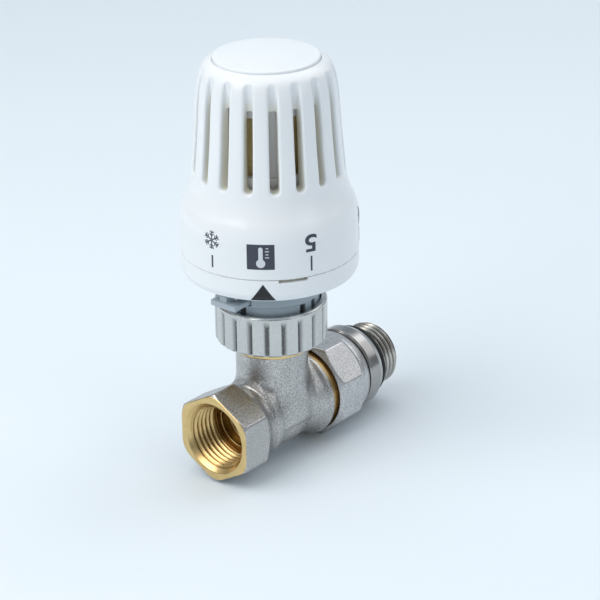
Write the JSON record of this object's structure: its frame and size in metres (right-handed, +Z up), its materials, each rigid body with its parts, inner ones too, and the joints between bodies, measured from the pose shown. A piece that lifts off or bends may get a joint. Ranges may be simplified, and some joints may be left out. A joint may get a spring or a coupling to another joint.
{
  "type": "thermostatic radiator valve",
  "caption": "Straight thermostatic radiator valve: nickel-plated brass body with threaded inlet, union tail and white slotted thermostatic head with a numbered dial.",
  "frame": {"origin": "centre of the mouth face of the inlet thread, on the pipe axis", "axes": "+X along the flow, from the inlet mouth towards the radiator tail; +Z up along the spindle and head axis; +Y completes the right-handed frame"},
  "size_m": [0.0788, 0.054, 0.1313],
  "materials": {
    "nickel_body": "satin nickel plate on sand-cast and shot-blasted brass",
    "nickel_nut": "nickel-plated, machined flutes",
    "nickel_tail": "nickel-plated, turned and polished",
    "brass": "bare machined brass",
    "capsule_brass": "drawn brass, dull",
    "sensor_fill": "expansion fill: wax or liquid, as one solid",
    "steel": "drawn stainless wire and rod",
    "seal_rubber": "moulded EPDM, satin black",
    "head_white": "moulded white ABS, semi-gloss",
    "cap_white": "moulded white ABS, semi-gloss",
    "ivory_plastic": "moulded ivory acetal",
    "collar_gray": "moulded blue-gray nylon",
    "clip_gray": "moulded light-gray nylon",
    "cage_gray": "moulded gray nylon"
  },
  "bodies": {
    "valve": {"valve_body": "nickel_body", "insert_housing": "brass", "insert_o_ring": "seal_rubber", "gland_nut": "brass", "gland_o_ring": "seal_rubber", "union_seal": "seal_rubber", "base_collar": "collar_gray", "base_ring": "head_white", "limit_ring": "ivory_plastic", "sensor_cage": "cage_gray"},
    "handle": {"handle": "head_white", "drive_sleeve": "ivory_plastic", "top_cap": "cap_white"},
    "sensor": {"sensor_capsule": "capsule_brass", "sensor_fill": "sensor_fill", "sensor_foot": "cage_gray", "sensor_carrier": "ivory_plastic", "push_rod": "ivory_plastic", "overtravel_spring": "steel", "spring_cup": "cage_gray"},
    "spindle": {"valve_pin": "steel", "disc_holder": "brass", "valve_disc": "seal_rubber", "return_spring": "steel"},
    "head_nut": {"mounting_nut": "nickel_nut"},
    "union_nut": {"union_nut": "nickel_nut"},
    "tail": {"tailpiece": "nickel_tail", "tail_collar": "nickel_tail", "tail_o_ring": "seal_rubber"},
    "lock_clip": {"lock_clip": "clip_gray"}
  },
  "joints": [
    {"name": "handle_turn", "type": "hinge", "parent": "valve", "child": "handle", "pos_m": [0.028, 0, 0], "axis": [0, 0, 1], "range_deg": [-325.5, 0]},
    {"name": "sensor_travel", "type": "slide", "parent": "valve", "child": "sensor", "axis": [0, 0, 1], "range_m": [-0.0032, 0]},
    {"name": "spindle_travel", "type": "slide", "parent": "valve", "child": "spindle", "axis": [0, 0, 1], "range_m": [-0.0032, 0], "deforming": ["return_spring"]},
    {"name": "nut_turn", "type": "hinge", "parent": "valve", "child": "head_nut", "pos_m": [0.028, 0, 0.03], "axis": [0, 0, 1], "continuous": true},
    {"name": "union_nut_turn", "type": "hinge", "parent": "valve", "child": "union_nut", "pos_m": [0.052, 0, 0], "axis": [1, 0, 0], "continuous": true},
    {"name": "tailpiece_turn", "type": "hinge", "parent": "valve", "child": "tail", "pos_m": [0.066, 0, 0], "axis": [1, 0, 0], "continuous": true},
    {"name": "clip_slide", "type": "slide", "parent": "valve", "child": "lock_clip", "axis": [-1, 0, 0], "range_m": [0, 0.004]}
  ],
  "couplings": [
    {"joint": "sensor_travel", "follows": "handle_turn", "m_per_rad": 0.00056328},
    {"joint": "spindle_travel", "follows": "handle_turn", "m_per_rad": 0.00056328}
  ]
}
